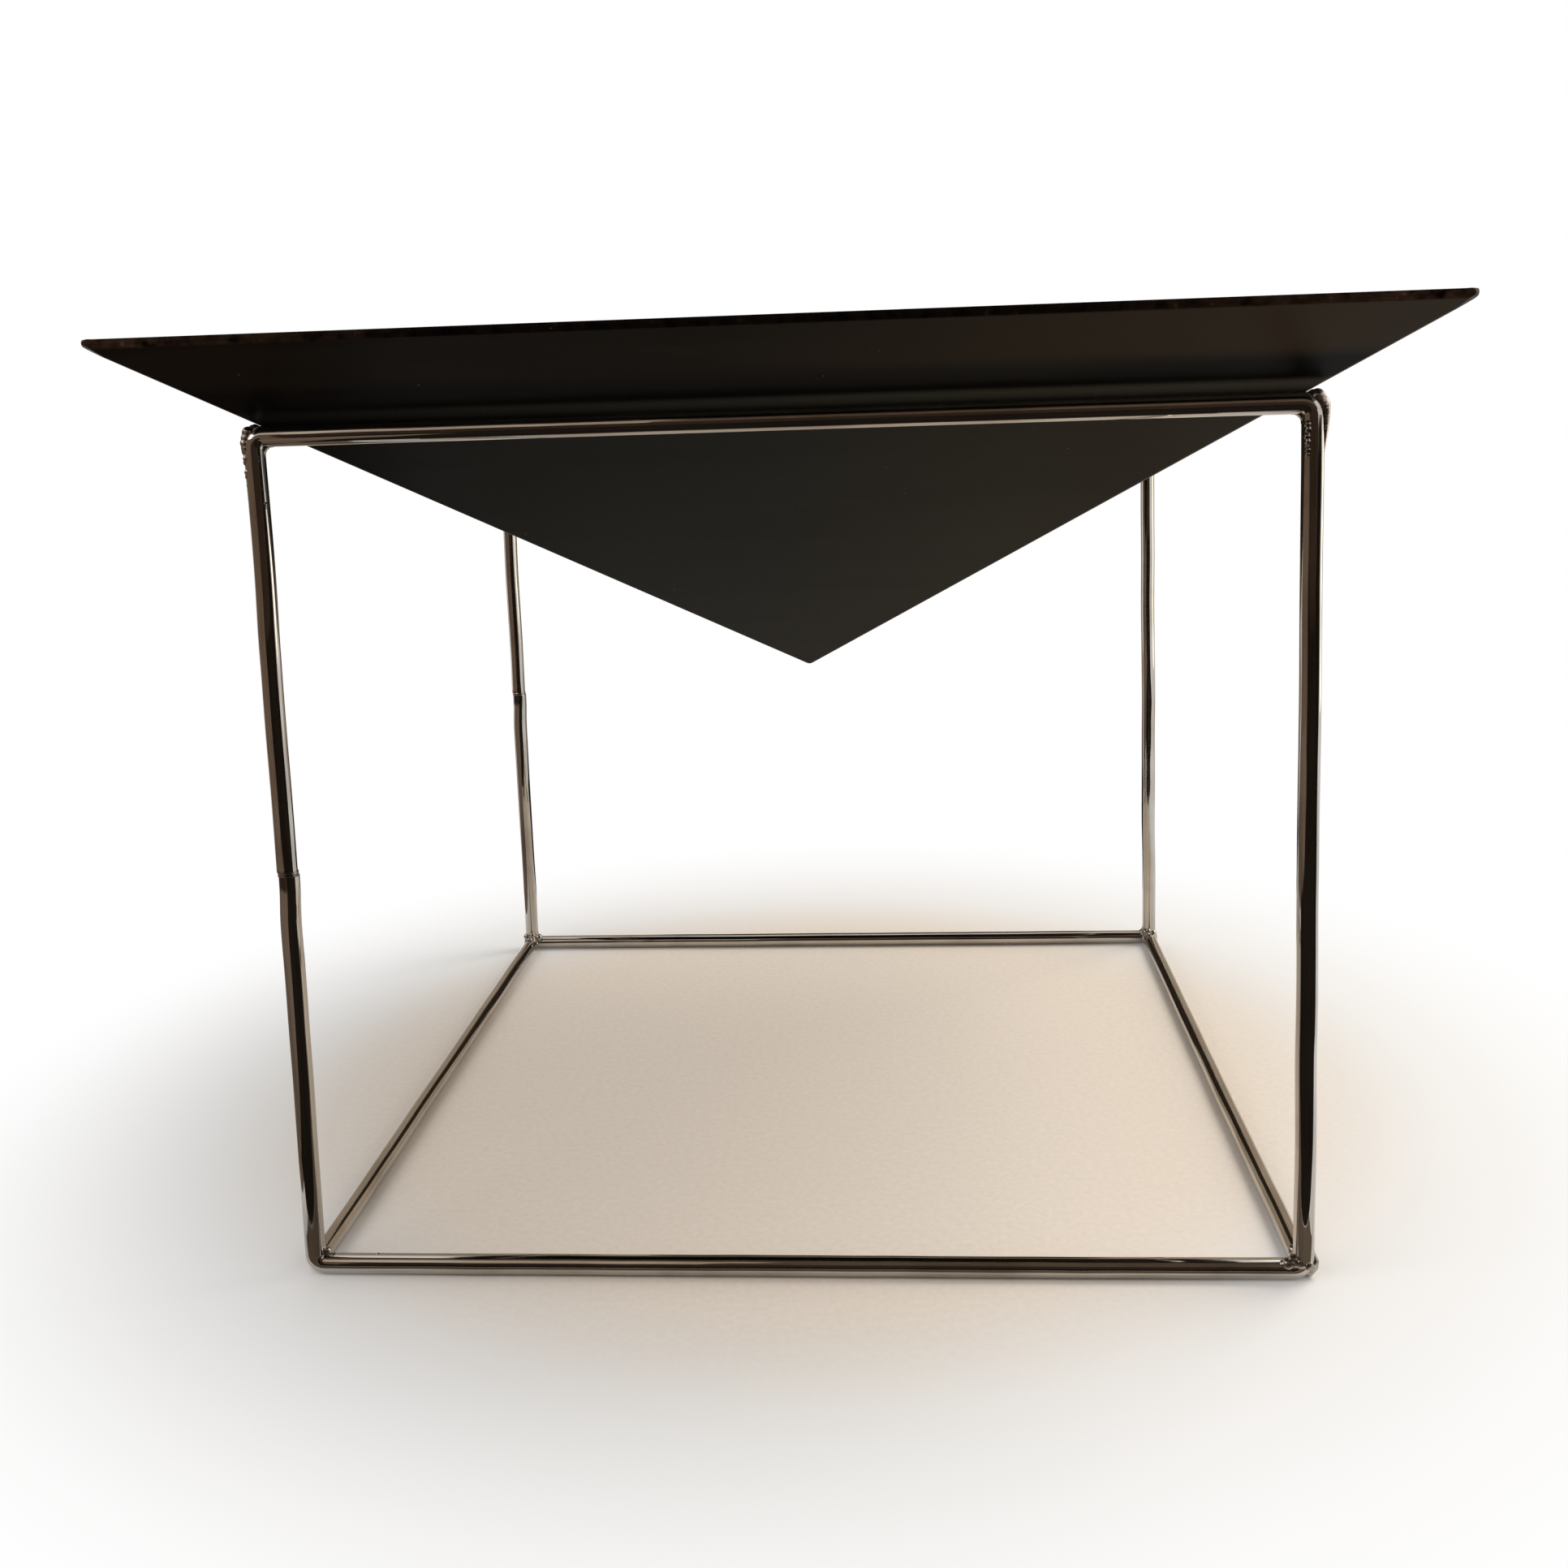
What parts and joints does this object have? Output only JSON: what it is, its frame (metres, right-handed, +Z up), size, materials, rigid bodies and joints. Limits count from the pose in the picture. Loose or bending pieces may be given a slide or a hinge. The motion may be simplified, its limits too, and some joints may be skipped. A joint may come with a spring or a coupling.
{
  "type": "side table",
  "caption": "Low square side table: a cage of chromed round rod carries a loose black sheet-metal tray shaped as an upside-down pyramid with an overhanging rim.",
  "frame": {"origin": "on the floor, at the centre of the table's footprint, straight under the tray's point", "axes": "+Z up; +Y away from the front loop, towards the back loop; +X to the right seen from the front"},
  "size_m": [0.478, 0.478, 0.3734],
  "materials": {
    "chrome_rod": "bright plated round rod",
    "chrome_weld": "plated weld metal, slightly rippled",
    "black_lacquer": "semi-gloss black lacquer on steel sheet",
    "black_weld": "semi-gloss black lacquer over weld bead"
  },
  "bodies": {
    "frame": {"front_loop": "chrome_rod", "back_loop": "chrome_rod", "front_loop_seam_weld": "chrome_weld", "back_loop_seam_weld": "chrome_weld", "top_left_rail": "chrome_rod", "top_right_rail": "chrome_rod", "bottom_left_rail": "chrome_rod", "bottom_right_rail": "chrome_rod", "front_top_left_weld": "chrome_weld", "front_top_right_weld": "chrome_weld", "front_bottom_left_weld": "chrome_weld", "front_bottom_right_weld": "chrome_weld", "back_top_left_weld": "chrome_weld", "back_top_right_weld": "chrome_weld", "back_bottom_left_weld": "chrome_weld", "back_bottom_right_weld": "chrome_weld"},
    "tray": {"tray_front_panel": "black_lacquer", "tray_right_panel": "black_lacquer", "tray_back_panel": "black_lacquer", "tray_left_panel": "black_lacquer", "tray_back_right_hip_weld": "black_weld", "tray_back_left_hip_weld": "black_weld", "tray_front_left_hip_weld": "black_weld", "tray_front_right_hip_weld": "black_weld"}
  },
  "joints": [
    {"name": "tray_lift", "type": "slide", "parent": "frame", "child": "tray", "axis": [0, 0, 1], "range_m": [0, 0.16]}
  ]
}
